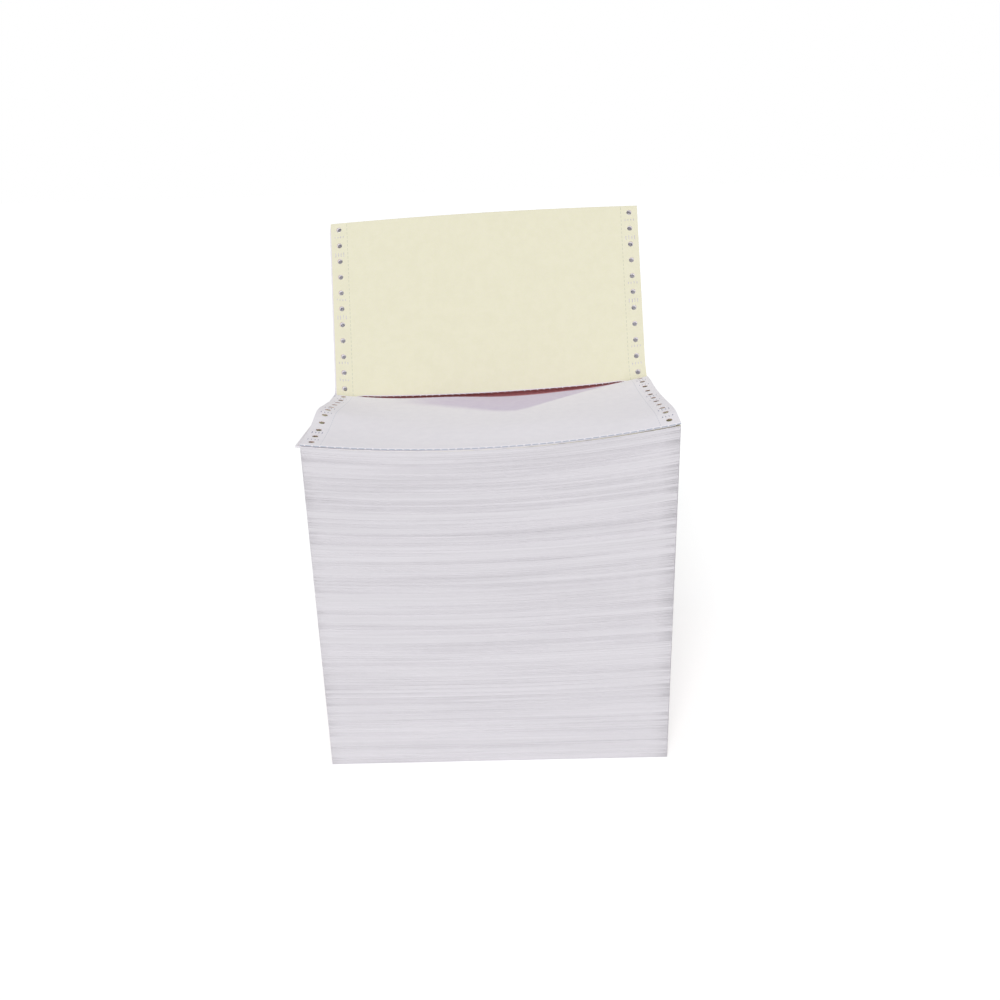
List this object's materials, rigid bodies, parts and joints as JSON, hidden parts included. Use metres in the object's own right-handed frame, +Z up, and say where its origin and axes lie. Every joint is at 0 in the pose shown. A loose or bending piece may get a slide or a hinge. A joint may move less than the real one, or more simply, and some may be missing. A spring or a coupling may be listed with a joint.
{
  "type": "stack of continuous form paper",
  "caption": "Fan-folded pile of multi-ply continuous form with punched margins; the top half page is raised to show its coloured copy sheet.",
  "frame": {"origin": "centre of the pile's flat underside", "axes": "+Z up through the pile; -Y towards the front fold, where the free sheet lies; +X to the right when seen from the front, across the form"},
  "size_m": [0.2455, 0.2794, 0.3728],
  "materials": {
    "form_paper": "uncoated paper, pile of white, pink and yellow plies",
    "white_paper": "uncoated white carbonless paper",
    "pink_paper": "uncoated pink carbonless paper",
    "yellow_paper": "uncoated pale yellow carbonless paper"
  },
  "bodies": {
    "root": {"folded_stack": "form_paper", "white_ply": "white_paper", "pink_ply": "pink_paper", "yellow_ply": "yellow_paper"}
  },
  "joints": []
}
